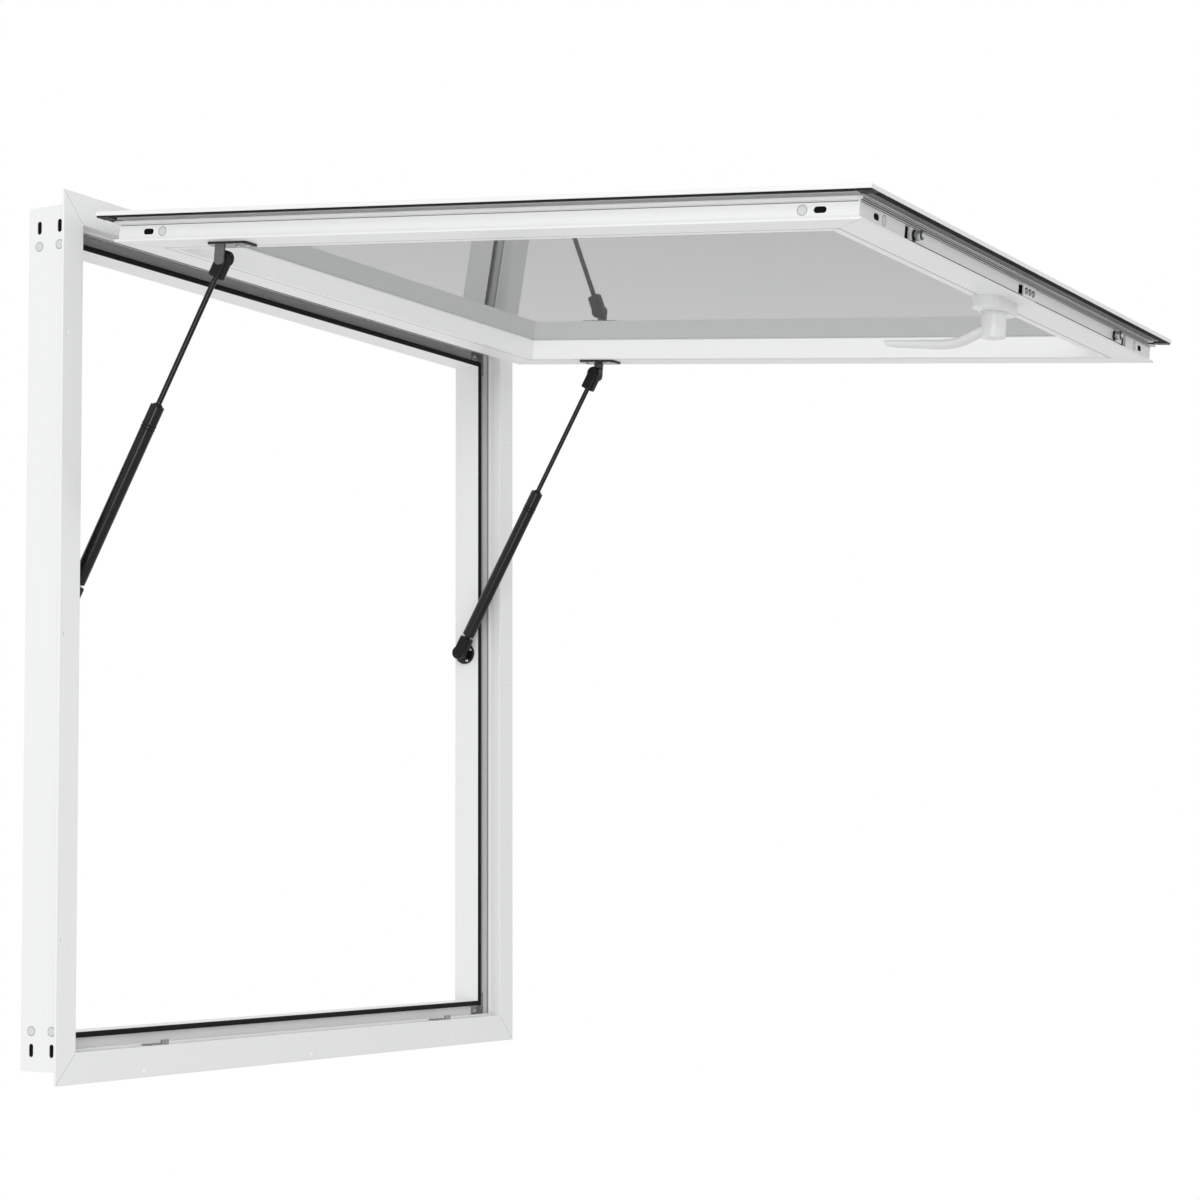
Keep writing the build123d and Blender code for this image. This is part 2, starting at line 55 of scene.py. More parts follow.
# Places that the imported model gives
joints = {joint["name"]: joint for joint in frame["joints"]}
hinge = np.array(joints["sash_hinge"]["pos_m"])
open_angle = math.radians(joints["sash_hinge"]["range_deg"][1])
strut_head = np.array(joints["right_rod_pivot"]["pos_m"])
strut_up = np.array(joints["right_strut_slide"]["axis"])
foot_low, foot_high = (np.array(corner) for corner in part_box("right_strut_foot"))

# Faces of the frame and of the closed sash, in metres
centre_z = 0.4615
box_half = 0.455
sash_half = 0.423
sash_foot = 0.0385
lip_half = 0.4415
jamb_rows = (0.014, 0.041)
side_row = 0.0075
flange_front = -0.002
lip_front = -0.0117
room_face = 0.018
bracket_face = 0.0205

# Small gaps and angles of the made surfaces
seam_lift = 0.00004
pole_gap = 0.00003
pole_radius = 0.00001
crease_angle = math.radians(38)

finishes = {}


def to_rest(points):
    """Turn the closed sash's points open about the hinge line: y' = c y + s z and z' = c z - s y."""
    cosine, sine = math.cos(open_angle), math.sin(open_angle)
    offset = np.asarray(points, float) - hinge
    y = cosine * offset[..., 1] + sine * offset[..., 2]
    z = cosine * offset[..., 2] - sine * offset[..., 1]
    return np.stack([offset[..., 0], y, z], -1) + hinge


def unit(vector):
    """A vector divided by its length."""
    vector = np.asarray(vector, float)
    return vector / np.linalg.norm(vector)


def side_axes(axis):
    """Two unit vectors square to an axis, the second being the axis crossed with the first."""
    axis = unit(axis)
    helper = np.array([1.0, 0.0, 0.0]) if abs(axis[0]) < 0.9 else np.array([0.0, 0.0, 1.0])
    first = unit(np.cross(helper, axis))
    return first, np.cross(axis, first)


def turned(middle, axis, profile, steps=28):
    """A surface of revolution: point(u, v) = middle + axis h(v) + r(v) (cos u e1 - sin u e2)."""
    profile = np.asarray(profile, float)
    first, second = side_axes(axis)
    angle = np.linspace(0.0, 2 * math.pi, steps, endpoint=False)[:, None, None]
    radius = profile[None, :, 0, None]
    height = profile[None, :, 1, None]
    around = np.cos(angle) * first - np.sin(angle) * second
    return np.asarray(middle, float) + unit(axis) * height + radius * around


def carried(path, profile, out, up):
    """A profile (a, b) carried along a path: point(i, j) = path(i) + a(j) out(i) + b(j) up(i)."""
    path = np.asarray(path, float)[:, None, :]
    profile = np.asarray(profile, float)
    out = np.broadcast_to(np.asarray(out, float), (len(path), 3))[:, None, :]
    up = np.broadcast_to(np.asarray(up, float), (len(path), 3))[:, None, :]
    return path + profile[None, :, 0, None] * out + profile[None, :, 1, None] * up


def rounded_rectangle(width, height, radius, steps=6):
    """Points round a rectangle, whose corners are quarter circles, and the outward direction at each."""
    turn = np.linspace(0.0, math.pi / 2, steps)[None, :] + np.arange(4)[:, None] * math.pi / 2
    sign_x = np.array([1, -1, -1, 1])[:, None]
    sign_z = np.array([1, 1, -1, -1])[:, None]
    x = sign_x * (width / 2 - radius) + radius * np.cos(turn)
    z = sign_z * (height / 2 - radius) + radius * np.sin(turn)
    out = np.stack([np.cos(turn), 0 * turn, np.sin(turn)], -1).reshape(-1, 3)
    return np.stack([x, 0 * x, z], -1).reshape(-1, 3), out


def framed(half, profile):
    """A mitred strip round a square: (x, z) = (0, centre_z) + (half - u(j)) corner(i), and y = v(j)."""
    profile = np.asarray(profile, float)
    reach = half - profile[None, :, 0]
    x = np.array([1, 1, -1, -1])[:, None] * reach
    z = np.array([1, -1, -1, 1])[:, None] * reach + centre_z
    return np.stack(np.broadcast_arrays(x, profile[None, :, 1], z), -1)


def pad(middle, along, across, up, size, layers):
    """A tile: point(i, j) = middle + share(j) outline(i) + height(j) up, for layers of (share, height)."""
    outline, _ = rounded_rectangle(*size)
    layers = np.asarray(layers, float)
    order = 1 if np.dot(np.cross(across, along), up) > 0 else -1
    flat = (outline[:, :1] * unit(along) + outline[:, 2:] * unit(across))[::order]
    return np.asarray(middle) + flat[:, None, :] * layers[None, :, :1] + layers[None, :, 1:] * unit(up)


def half_ring(radius, height):
    """Half an ellipse as pairs: (radius cos t, height sin t), for t from 0 to pi."""
    turn = np.linspace(0, math.pi, 7)
    return np.stack([radius * np.cos(turn), height * np.sin(turn)], -1)


def grooved(start, end, level, depth, steps=13):
    """Places across a strip, and its level there, which steps by the depth at every fourth place."""
    return np.linspace(start, end, steps), level + depth * (np.arange(steps) % 4 == 2)


def patch(points, sash, loop=True):
    """A grid's vertices and quads, turned to rest for the sash; a loop joins the last line to the first."""
    if sash:
        points = to_rest(points)
    count_u, count_v = points.shape[:2]
    u = np.arange(count_u if loop else count_u - 1)[:, None]
    v = np.arange(count_v - 1)[None, :]
    after = (u + 1) % count_u
    corners = [u * count_v + v, after * count_v + v, after * count_v + v + 1, u * count_v + v + 1]
    return points.reshape(-1, 3), np.stack(np.broadcast_arrays(*corners), -1).reshape(-1, 4)


def piece(name, patches, material, body, smooth=True):
    """Join patches into one object with its poles closed, a finish, and the body that it rides on."""
    points, faces, start = [], [], 0
    for vertices, quads in patches:
        points.append(vertices)
        faces.append(quads + start)
        start += len(vertices)
    mesh = bpy.data.meshes.new(name)
    mesh.from_pydata(np.concatenate(points).tolist(), [], np.concatenate(faces).tolist())
    shell = bmesh.new()
    shell.from_mesh(mesh)
    bmesh.ops.remove_doubles(shell, verts=shell.verts, dist=pole_gap)
    shell.to_mesh(mesh)
    shell.free()
    if smooth:
        mesh.polygons.foreach_set("use_smooth", np.ones(len(mesh.polygons), bool))
        mesh.set_sharp_from_angle(angle=crease_angle)
    mesh.materials.append(finishes[material])
    made = bpy.data.objects.new(name, mesh)
    bpy.context.scene.collection.objects.link(made)
    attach(made, body)
    return made


def screw(middle, axis, radius, height, sash=False):
    """A pan-head screw with a pit, as (radius, height) pairs turned about an axis."""
    pit = 0.36 * radius
    profile = [
        (pole_radius, 0.25 * height),
        (0.8 * pit, 0.25 * height),
        (pit, 0.9 * height),
        (1.15 * pit, height),
        (0.62 * radius, 0.97 * height),
        (0.85 * radius, 0.75 * height),
        (0.97 * radius, 0.4 * height),
        (radius, 0.0),
        (radius, -0.2 * height),
    ]
    return patch(turned(middle, axis, profile), sash)


def seam(start, end, normal, width, sash):
    """A narrow arched strip from start to end, lifted off its face by a hair, as a carried profile."""
    start, end = np.asarray(start, float), np.asarray(end, float)
    path = start + np.linspace(0, 1, 2)[:, None] * (end - start)
    across = np.cross(unit(normal), unit(end - start))
    profile = [(-width / 2, 0.2 * seam_lift), (0.0, seam_lift), (width / 2, 0.2 * seam_lift)]
    return patch(carried(path, profile, across, unit(normal)), sash, False)


plug_disc = [
    (pole_radius, 0.03), (0.34, 0.035), (0.4, 0.015), (0.46, 0.035), (0.7, 0.05), (0.8, 0.04), (0.84, 0.0),
]
plug_ring = [(0.83, 0.012), (0.88, 0.03), (0.95, 0.03), (1.0, 0.0), (1.0, -0.1)]


def plugs(name, spots, radius, body, sash):
    """Press-in plugs, each a pale dished disc turned about its axis, and the grey rings round them."""
    for label, share, material in (("_discs", plug_disc, "plug_pale"), ("_rings", plug_ring, "plug_grey")):
        profile = np.array(share) * radius
        shells = [patch(turned(place, axis, profile), sash) for place, axis in spots]
        piece(name + label, shells, material, body)


def feed(tree, value, target):
    """Link a socket to an input, or set the input to a number."""
    if isinstance(value, bpy.types.NodeSocket):
        tree.links.new(value, target)
    else:
        target.default_value = value


def new_group(name, inputs):
    """A shader node group with its inputs, three outputs, and the nodes that carry them."""
    tree = bpy.data.node_groups.new(name, "ShaderNodeTree")
    for label, kind, default in inputs:
        tree.interface.new_socket(label, in_out="INPUT", socket_type=kind).default_value = default
    for label, kind in (("Colour", "Color"), ("Roughness", "Float"), ("Height", "Float")):
        tree.interface.new_socket(label, in_out="OUTPUT", socket_type="NodeSocket" + kind)
    return tree, tree.nodes.new("NodeGroupInput"), tree.nodes.new("NodeGroupOutput")


def maths(tree, operation, first, second):
    """A Math node; an argument that is a socket is linked, and a number is set."""
    node = tree.nodes.new("ShaderNodeMath")
    node.operation = operation
    feed(tree, first, node.inputs[0])
    feed(tree, second, node.inputs[1])
    return node.outputs[0]


def noise(tree, vector, scale, detail):
    """A noise texture on a vector, at a scale that is a socket or a number."""
    node = tree.nodes.new("ShaderNodeTexNoise")
    node.inputs["Detail"].default_value = detail
    tree.links.new(vector, node.inputs["Vector"])
    feed(tree, scale, node.inputs["Scale"])
    return node.outputs["Fac"]


def shade(tree, colour, factor):
    """A colour multiplied by a grey factor."""
    node = tree.nodes.new("ShaderNodeVectorMath")
    node.operation = "SCALE"
    tree.links.new(colour, node.inputs[0])
    tree.links.new(factor, node.inputs["Scale"])
    return node.outputs[0]


def make_grain_group():
    """Grain of a coated or moulded skin: fine bumps, a slow change of tone and a slow change of gloss."""
    inputs = [
        ("Vector", "NodeSocketVector", (0, 0, 0)),
        ("Colour", "NodeSocketColor", (0.8, 0.8, 0.8, 1)),
        ("Roughness", "NodeSocketFloat", 0.4),
        ("Scale", "NodeSocketFloat", 900.0),
        ("Tone Change", "NodeSocketFloat", 0.03),
        ("Gloss Change", "NodeSocketFloat", 0.1),
    ]
    tree, start, end = new_group("skin_grain", inputs)
    slow_scale = 7.0
    fine = noise(tree, start.outputs["Vector"], start.outputs["Scale"], 2.0)
    slow = maths(tree, "SUBTRACT", noise(tree, start.outputs["Vector"], slow_scale, 3.0), 0.5)
    tone = maths(tree, "ADD", maths(tree, "MULTIPLY", slow, start.outputs["Tone Change"]), 1.0)
    gloss = maths(tree, "MULTIPLY", slow, start.outputs["Gloss Change"])
    tree.links.new(shade(tree, start.outputs["Colour"], tone), end.inputs["Colour"])
    tree.links.new(maths(tree, "ADD", start.outputs["Roughness"], gloss), end.inputs["Roughness"])
    tree.links.new(fine, end.inputs["Height"])
    return tree


def make_line_group():
    """Drawn or ground metal: noise that the vector stretches along one axis, as tone, gloss and height."""
    inputs = [
        ("Vector", "NodeSocketVector", (0, 0, 0)),
        ("Colour", "NodeSocketColor", (0.6, 0.6, 0.6, 1)),
        ("Roughness", "NodeSocketFloat", 0.3),
        ("Scale", "NodeSocketFloat", 600.0),
        ("Tone Change", "NodeSocketFloat", 0.2),
    ]
    tree, start, end = new_group("drawn_lines", inputs)
    gloss_change = 0.25
    lines = noise(tree, start.outputs["Vector"], start.outputs["Scale"], 3.0)
    centred = maths(tree, "SUBTRACT", lines, 0.5)
    tone = maths(tree, "ADD", maths(tree, "MULTIPLY", centred, start.outputs["Tone Change"]), 1.0)
    gloss = maths(tree, "ADD", start.outputs["Roughness"], maths(tree, "MULTIPLY", centred, gloss_change))
    tree.links.new(shade(tree, start.outputs["Colour"], tone), end.inputs["Colour"])
    tree.links.new(gloss, end.inputs["Roughness"])
    tree.links.new(lines, end.inputs["Height"])
    return tree


def new_finish(name, group, values, stretch, bump, constants, turn=0.0):
    """A material: Object coordinates, turned about X and drawn out, feed a group and then the shader."""
    material = bpy.data.materials.new(name)
    material.use_nodes = True
    tree = material.node_tree
    shader = tree.nodes["Principled BSDF"]
    place = tree.nodes.new("ShaderNodeTexCoord")
    mapping = tree.nodes.new("ShaderNodeMapping")
    mapping.vector_type = "TEXTURE"
    mapping.inputs["Rotation"].default_value = (turn, 0, 0)
    mapping.inputs["Scale"].default_value = stretch
    tree.links.new(place.outputs["Object"], mapping.inputs["Vector"])
    node = tree.nodes.new("ShaderNodeGroup")
    node.node_tree = group
    tree.links.new(mapping.outputs["Vector"], node.inputs["Vector"])
    for label, value in values.items():
        node.inputs[label].default_value = value
    tree.links.new(node.outputs["Colour"], shader.inputs["Base Color"])
    tree.links.new(node.outputs["Roughness"], shader.inputs["Roughness"])
    if bump:
        relief = tree.nodes.new("ShaderNodeBump")
        relief.inputs["Strength"].default_value = bump[0]
        relief.inputs["Distance"].default_value = bump[1]
        tree.links.new(node.outputs["Height"], relief.inputs["Height"])
        tree.links.new(relief.outputs["Normal"], shader.inputs["Normal"])
    for label, value in constants.items():
        shader.inputs[label].default_value = value
    finishes[name] = material


def dress(slot_name, material):
    """Give a finish to every node of one material slot of the record."""
    for entry in frame["record"]["subparts"]:
        if entry["material_slot"] == slot_name:
            node = frame["nodes"][entry["node"]]
            for index in range(len(node.material_slots)):
                node.material_slots[index].material = material


class FinishSettings(bpy.types.PropertyGroup):
    """Colours of the hatch's finishes."""

    white: bpy.props.FloatVectorProperty(
        name="White coat", description="Powder coat on the bars", subtype="COLOR", default=(0.83, 0.835, 0.84)
    )
    handle: bpy.props.FloatVectorProperty(
        name="Handle", description="Coat on the handle", subtype="COLOR", default=(0.75, 0.755, 0.76)
    )
    rubber: bpy.props.FloatVectorProperty(
        name="Rubber", description="Gaskets and seals", subtype="COLOR", default=(0.007, 0.007, 0.0075)
    )
    black: bpy.props.FloatVectorProperty(
        name="Black paint", description="Struts and brackets", subtype="COLOR", default=(0.006, 0.006, 0.0065)
    )
    zinc: bpy.props.FloatVectorProperty(
        name="Zinc", description="Screws and rollers", subtype="COLOR", default=(0.55, 0.56, 0.57)
    )
    glass: bpy.props.FloatVectorProperty(
        name="Glass", description="Tint of the pane", subtype="COLOR", default=(0.19, 0.194, 0.198)
    )


class HardwareSettings(bpy.types.PropertyGroup):
    """Sizes of the small hardware."""

    plug_radius: bpy.props.FloatProperty(
        name="Plug radius", description="Round plugs beside the slots", unit="LENGTH", default=0.00525
    )
    plug_from_end: bpy.props.FloatProperty(
        name="Jamb plug place", description="From the box end", unit="LENGTH", default=0.042
    )
    sash_plug_from_end: bpy.props.FloatProperty(
        name="Sash plug place", description="From the sash body end", unit="LENGTH", default=0.057
    )
    screw_radius: bpy.props.FloatProperty(
        name="Screw radius", description="Heads on plates", unit="LENGTH", default=0.0028
    )
    seam_width: bpy.props.FloatProperty(
        name="Seam width", description="Line at a mitred corner", unit="LENGTH", default=0.00032
    )
    # The lines along the sash's outer sides are painted shade at the steps of the bars' profile
    line_width: bpy.props.FloatProperty(
        name="Line width", description="Drawn lines along the sash's bars", unit="LENGTH", default=0.0009
    )
    cap_size: bpy.props.FloatProperty(
        name="Corner cap", description="Seal corner under the lip", unit="LENGTH", default=0.0165
    )


class HATCH_OT_finishes(bpy.types.Operator):
    """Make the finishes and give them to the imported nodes"""

    bl_idname = "hatch.finishes"
    bl_label = "Finishes"

    def execute(self, context):
        colours = context.scene.hatch_finish
        grain = make_grain_group()
        lines = make_line_group()
        gloss = "Specular IOR Level"
        glass = {"Transmission Weight": 1.0, "IOR": 1.5}
        lacquer = {"Coat Weight": 0.25, "Coat Roughness": 0.12}
        metal = {"Metallic": 1.0}
        satin = {gloss: 0.5}
        # Grained skins: name, colour, roughness, scale, tone change, gloss change, bump, constants
        skins = (
            ("white_coat", colours.white, 0.36, 1300.0, 0.02, 0.1, (0.05, 0.0004), satin),
            ("white_handle", colours.handle, 0.28, 1600.0, 0.02, 0.1, (0.04, 0.0003), lacquer),
            ("rubber", colours.rubber, 0.62, 2200.0, 0.5, 0.25, (0.2, 0.0003), {gloss: 0.12}),
            ("black_paint", colours.black, 0.2, 1800.0, 0.3, 0.1, (0.02, 0.0003), {gloss: 0.3}),
            ("black_nylon", colours.black, 0.34, 2600.0, 0.4, 0.1, (0.1, 0.0003), {gloss: 0.18}),
            ("seam_shadow", (0.22, 0.225, 0.23), 0.7, 900.0, 0.3, 0.1, None, {gloss: 0.2}),
            # Painted shade: a grey for the channel under the sash's lip
            ("channel_shade_grey", (0.2, 0.2, 0.205), 0.55, 1200.0, 0.2, 0.1, (0.1, 0.0003), {gloss: 0.3}),
            # Painted shade: a grey for the frame's web behind the gasket
            ("web_shade_grey", (0.34, 0.34, 0.345), 0.55, 1200.0, 0.2, 0.1, (0.1, 0.0003), {gloss: 0.3}),
            # Near-black and dull: the dark corner keys in the slots, and painted shade in the lock's groove and
            # notch
            ("key_and_shade_dark", (0.004, 0.004, 0.004), 0.8, 900.0, 0.4, 0.1, None, {gloss: 0.08}),
            ("plug_grey", (0.38, 0.38, 0.385), 0.45, 1500.0, 0.1, 0.1, (0.08, 0.0003), {gloss: 0.4}),
            ("plug_pale", (0.66, 0.665, 0.67), 0.4, 1500.0, 0.06, 0.1, (0.06, 0.0003), satin),
            ("pane", colours.glass, 0.02, 30.0, 0.05, 0.015, None, glass),
        )
        for name, colour, roughness, scale, tone, gloss_change, bump, constants in skins:
            values = {"Colour": (*colour, 1), "Roughness": roughness, "Scale": scale, "Tone Change": tone}
            values["Gloss Change"] = gloss_change
            new_finish(name, grain, values, (1, 1, 1), bump, constants)
        # Drawn metal: name, colour, roughness, scale, tone change, stretch, bump, constants, turn
        drawn = (
            ("coat_level", colours.white, 0.36, 420.0, 0.05, (60, 1, 1), (0.06, 0.0003), satin, 0.0),
            ("coat_upright", colours.white, 0.36, 420.0, 0.05, (1, 1, 60), (0.06, 0.0003), satin, 0.0),
            ("coat_stile", colours.white, 0.36, 420.0, 0.05, (1, 1, 60), (0.06, 0.0003), satin, -open_angle),
            ("black_rod", colours.black, 0.15, 900.0, 0.5, (1, 16, 16), (0.02, 0.0002), {gloss: 0.28}, 0.0),
            ("zinc", colours.zinc, 0.34, 1500.0, 0.35, (12, 1, 1), (0.06, 0.0002), metal, 0.0),
            ("dark_zinc", (0.28, 0.28, 0.285), 0.3, 1500.0, 0.5, (12, 1, 1), (0.08, 0.0002), metal, 0.0),
            ("black_zinc", (0.07, 0.07, 0.072), 0.24, 1200.0, 0.8, (12, 1, 1), (0.1, 0.0002), metal, 0.0),
            ("bracket_steel", (0.15, 0.148, 0.15), 0.42, 700.0, 0.3, (1, 10, 1), (0.05, 0.0002), metal, 0.0),
        )
        for name, colour, roughness, scale, tone, stretch, bump, constants, turn in drawn:
            values = {"Colour": (*colour, 1), "Roughness": roughness, "Scale": scale, "Tone Change": tone}
            new_finish(name, lines, values, stretch, bump, constants, turn)
        pairs = (
            ("white_coat", "white_coat"), ("white_handle", "white_handle"), ("rubber", "rubber"),
            ("black_steel", "black_paint"), ("black_nylon", "black_nylon"), ("black_rod", "black_rod"),
            ("bright_steel", "dark_zinc"), ("glass", "pane"),
        )
        for slot_name, material in pairs:
            dress(slot_name, finishes[material])
        single = {
            "coat_level": ("frame_head", "frame_sill", "sash_top_rail", "sash_bottom_rail", "hinge_rail",
                           "hinge_hook", "glazing_bead_top", "glazing_bead_bottom", "lock_bar",
                           "lock_drive_block"),
            "coat_upright": ("frame_left_jamb", "frame_right_jamb"),
            "coat_stile": ("sash_left_stile", "sash_right_stile", "glazing_bead_left", "glazing_bead_right"),
            "bracket_steel": ("left_strut_bracket", "right_strut_bracket"),
            "black_zinc": ("left_lock_cam", "right_lock_cam"),
        }
        for material, names in single.items():
            for name in names:
                frame["nodes"][name].material_slots[0].material = finishes[material]
        pane = frame["nodes"]["glass_pane"]
        pane.visible_shadow = False
        pane.visible_diffuse = False
        return {"FINISHED"}


class HATCH_OT_plugs(bpy.types.Operator):
    """Round plugs beside the slots, and the dark corner keys that show in the slots, made near-black and dull as
    painted shade in the slots
    """

    bl_idname = "hatch.plugs"
    bl_label = "Plugs and slots"

    def execute(self, context):
        sizes = context.scene.hatch_hardware
        both = (-1, 1)
        up, depth, along, down = (0, 0, 1), (0, 1, 0), (1, 0, 0), (0, 0, -1)
        reach = box_half - sizes.plug_from_end
        spots = [
            ((side * box_half, y, centre_z + end * reach), (side, 0, 0))
            for side in both for y in jamb_rows for end in both
        ]
        plugs("jamb_plug", spots, sizes.plug_radius, "frame", False)
        reach = sash_half - sizes.sash_plug_from_end
        spots = [
            ((side * sash_half, side_row, centre_z + end * reach), (side, 0, 0))
            for side in both for end in both
        ]
        spots += [((end * reach, side_row, sash_foot), down) for end in both]
        plugs("sash_plug", spots, sizes.plug_radius, "sash", True)
        # Dark keys recessed in each slot: a corner key's own dark colour, deepened to painted shade inside the
        # slot
        key = [(0.0, -0.0006), (0.6, -0.0006), (0.97, -0.0006), (0.97, -0.002)]
        jamb_reach, jamb_slot = 0.433, (0.014, 0.0055, 0.0027)
        tiles = [
            pad((side * box_half, y, centre_z + end * jamb_reach), up, depth, (side, 0, 0), jamb_slot, key)
            for side in both for y in jamb_rows for end in both
        ]
        piece("jamb_slot_keys", [patch(tile, False) for tile in tiles], "key_and_shade_dark", "frame")
        sash_reach, sash_slot = 0.384, (0.013, 0.0062, 0.003)
        tiles = [
            pad((side * sash_half, side_row, centre_z + z), up, depth, (side, 0, 0), sash_slot, key)
            for side in both for z in (-sash_reach, sash_reach)
        ]
        tiles += [
            pad((x, side_row, sash_foot), along, depth, down, sash_slot, key)
            for x in (-sash_reach, sash_reach)
        ]
        piece("sash_slot_keys", [patch(tile, True) for tile in tiles], "key_and_shade_dark", "sash")
        return {"FINISHED"}


class HATCH_OT_screws(bpy.types.Operator):
    """Screw heads on the fittings, the brackets' paint, and near-black strips of painted shade on the lock
    groove's floor, along the bar's edge and on the notch's wall
    """

    bl_idname = "hatch.screws"
    bl_label = "Screws"

    def execute(self, context):
        radius = context.scene.hatch_hardware.screw_radius
        both = (-1, 1)
        bracket_x, bracket_heights = 0.3995, (0.7335, 0.7455, 0.7712)
        heads = [
            screw((side * bracket_x, bracket_face, z), (0, 1, 0), radius, 0.0012, True)
            for side in both for z in bracket_heights
        ]
        piece("bracket_screws", heads, "zinc", "sash")
        plate_x, plate_z, plate = 0.40075, 0.7525, (0.0235, 0.05, 0.004)
        paint = [(0.0, 0.00003), (0.8, 0.00003), (0.985, 0.00003), (1.003, -0.0003), (1.003, -0.0024)]
        plates = [
            pad((side * plate_x, bracket_face, plate_z), (1, 0, 0), (0, 0, 1), (0, 1, 0), plate, paint)
            for side in both
        ]
        plates = [patch(points, True) for points in plates]
        piece("bracket_paint", plates, "black_paint", "sash")
        down, groove_top = (0, 0, -1), 0.04122
        # Painted shadow: a near-black strip on the white groove floor, seen in the gaps beside the bar and in the
        # notch
        floor = seam((-0.316, side_row, groove_top), (0.3335, side_row, groove_top), down, 0.0128, True)
        piece("groove_shadow_floor", [floor], "key_and_shade_dark", "sash", False)
        # Painted shadow: a near-black line along the bar's edge, for the shaded gap and chamfer
        bar_edge = 0.0135
        line = seam((-0.304, bar_edge, sash_foot), (0.32, bar_edge, sash_foot), down, 0.0009, True)
        piece("bar_edge_shadow_line", [line], "key_and_shade_dark", "lock", False)
        # Painted shade: a near-black sheet on the notch's wall
        notch_x, notch_z = -0.001, 0.03975
        wall = seam((notch_x, 0.0026, notch_z), (notch_x, 0.0124, notch_z), (-1, 0, 0), 0.0025, True)
        piece("notch_shadow_wall", [wall], "key_and_shade_dark", "lock", False)
        middle = (foot_low + foot_high) / 2
        turn = np.radians((65, 155, 245, 335))
        circle = 0.0105 * np.stack([np.cos(turn), np.sin(turn)], -1)
        heads = [
            screw((side * foot_low[0], middle[1] + dy, middle[2] + dz), (-side, 0, 0), 0.75 * radius, 0.0009)
            for side in both for dy, dz in circle
        ]
        piece("foot_screws", heads, "zinc", "frame")
        keeper_y, keeper_top = 0.0077, 0.028
        heads = [screw((x, keeper_y, keeper_top), (0, 0, 1), 0.75 * radius, 0.0005) for x in (-0.3, 0.288)]
        piece("keeper_screws", heads, "zinc", "frame")
        cleat_face, cleat_corner = 0.0238, 0.4345
        near, far = cleat_corner - 0.0055, cleat_corner - 0.021
        heads = [
            screw((sx * x, cleat_face, centre_z + sz * z), (0, -1, 0), 0.9 * radius, 0.0009)
            for sx in both for sz in both for x, z in ((near, far), (far, near))
        ]
        piece("cleat_screws", heads, "zinc", "frame")
        drive_places, drive_face = (0.006, 0.0165, 0.027), 0.037
        heads = [screw((x, side_row, drive_face), down, 1.3 * radius, 0.0015, True) for x in drive_places]
        piece("drive_screws", heads, "dark_zinc", "lock")
        return {"FINISHED"}


class HATCH_OT_lock_rollers(bpy.types.Operator):
    """Rings and pins on the two roller cams"""

    bl_idname = "hatch.lock_rollers"
    bl_label = "Lock rollers"

    def execute(self, context):
        sleeve = [(0.00458, 0.0058), (0.0048, 0.0056), (0.00495, 0.0046), (0.00495, 0.0012),
                  (0.00485, 0.0003), (0.00458, 0.0)]
        pin = [(pole_radius, 0.0002), (0.0010, 0.0002), (0.0013, 0.0007), (0.0021, 0.0008),
               (0.0026, 0.0004), (0.0027, -0.0002)]
        sleeve_top, pin_top = 0.0365, 0.0295
        rollers = []
        for x in (-0.294, 0.294):
            rollers.append(patch(turned((x, side_row, sleeve_top), (0, 0, -1), sleeve), True))
            rollers.append(patch(turned((x, side_row, pin_top), (0, 0, -1), pin), True))
        piece("roller_sleeves", rollers, "zinc", "lock")
        return {"FINISHED"}


class HATCH_OT_strut_rings(bpy.types.Operator):
    """Rolled rings and the wiper at the rod end of each gas strut"""

    bl_idname = "hatch.strut_rings"
    bl_label = "Strut rings"

    def execute(self, context):
        tube_radius, ring_reaches, wiper_reach = 0.00765, (0.1922, 0.1962), 0.17
        bead = half_ring(0.0011, 0.00042)[:, ::-1] + np.array([tube_radius, 0.0])
        wiper = [(0.0031, 0.0016), (0.0039, 0.0018), (0.0046, 0.0013), (0.0052, 0.0004), (0.0054, -0.0004)]
        for name, side in (("left", -1), ("right", 1)):
            head = strut_head * np.array([side, 1, 1])
            shells = [patch(turned(head - strut_up * reach, strut_up, bead), False) for reach in ring_reaches]
            shells.append(patch(turned(head - strut_up * wiper_reach, strut_up, wiper), False))
            piece(name + "_strut_rings", shells, "black_nylon", name + "_cylinder")
        return {"FINISHED"}


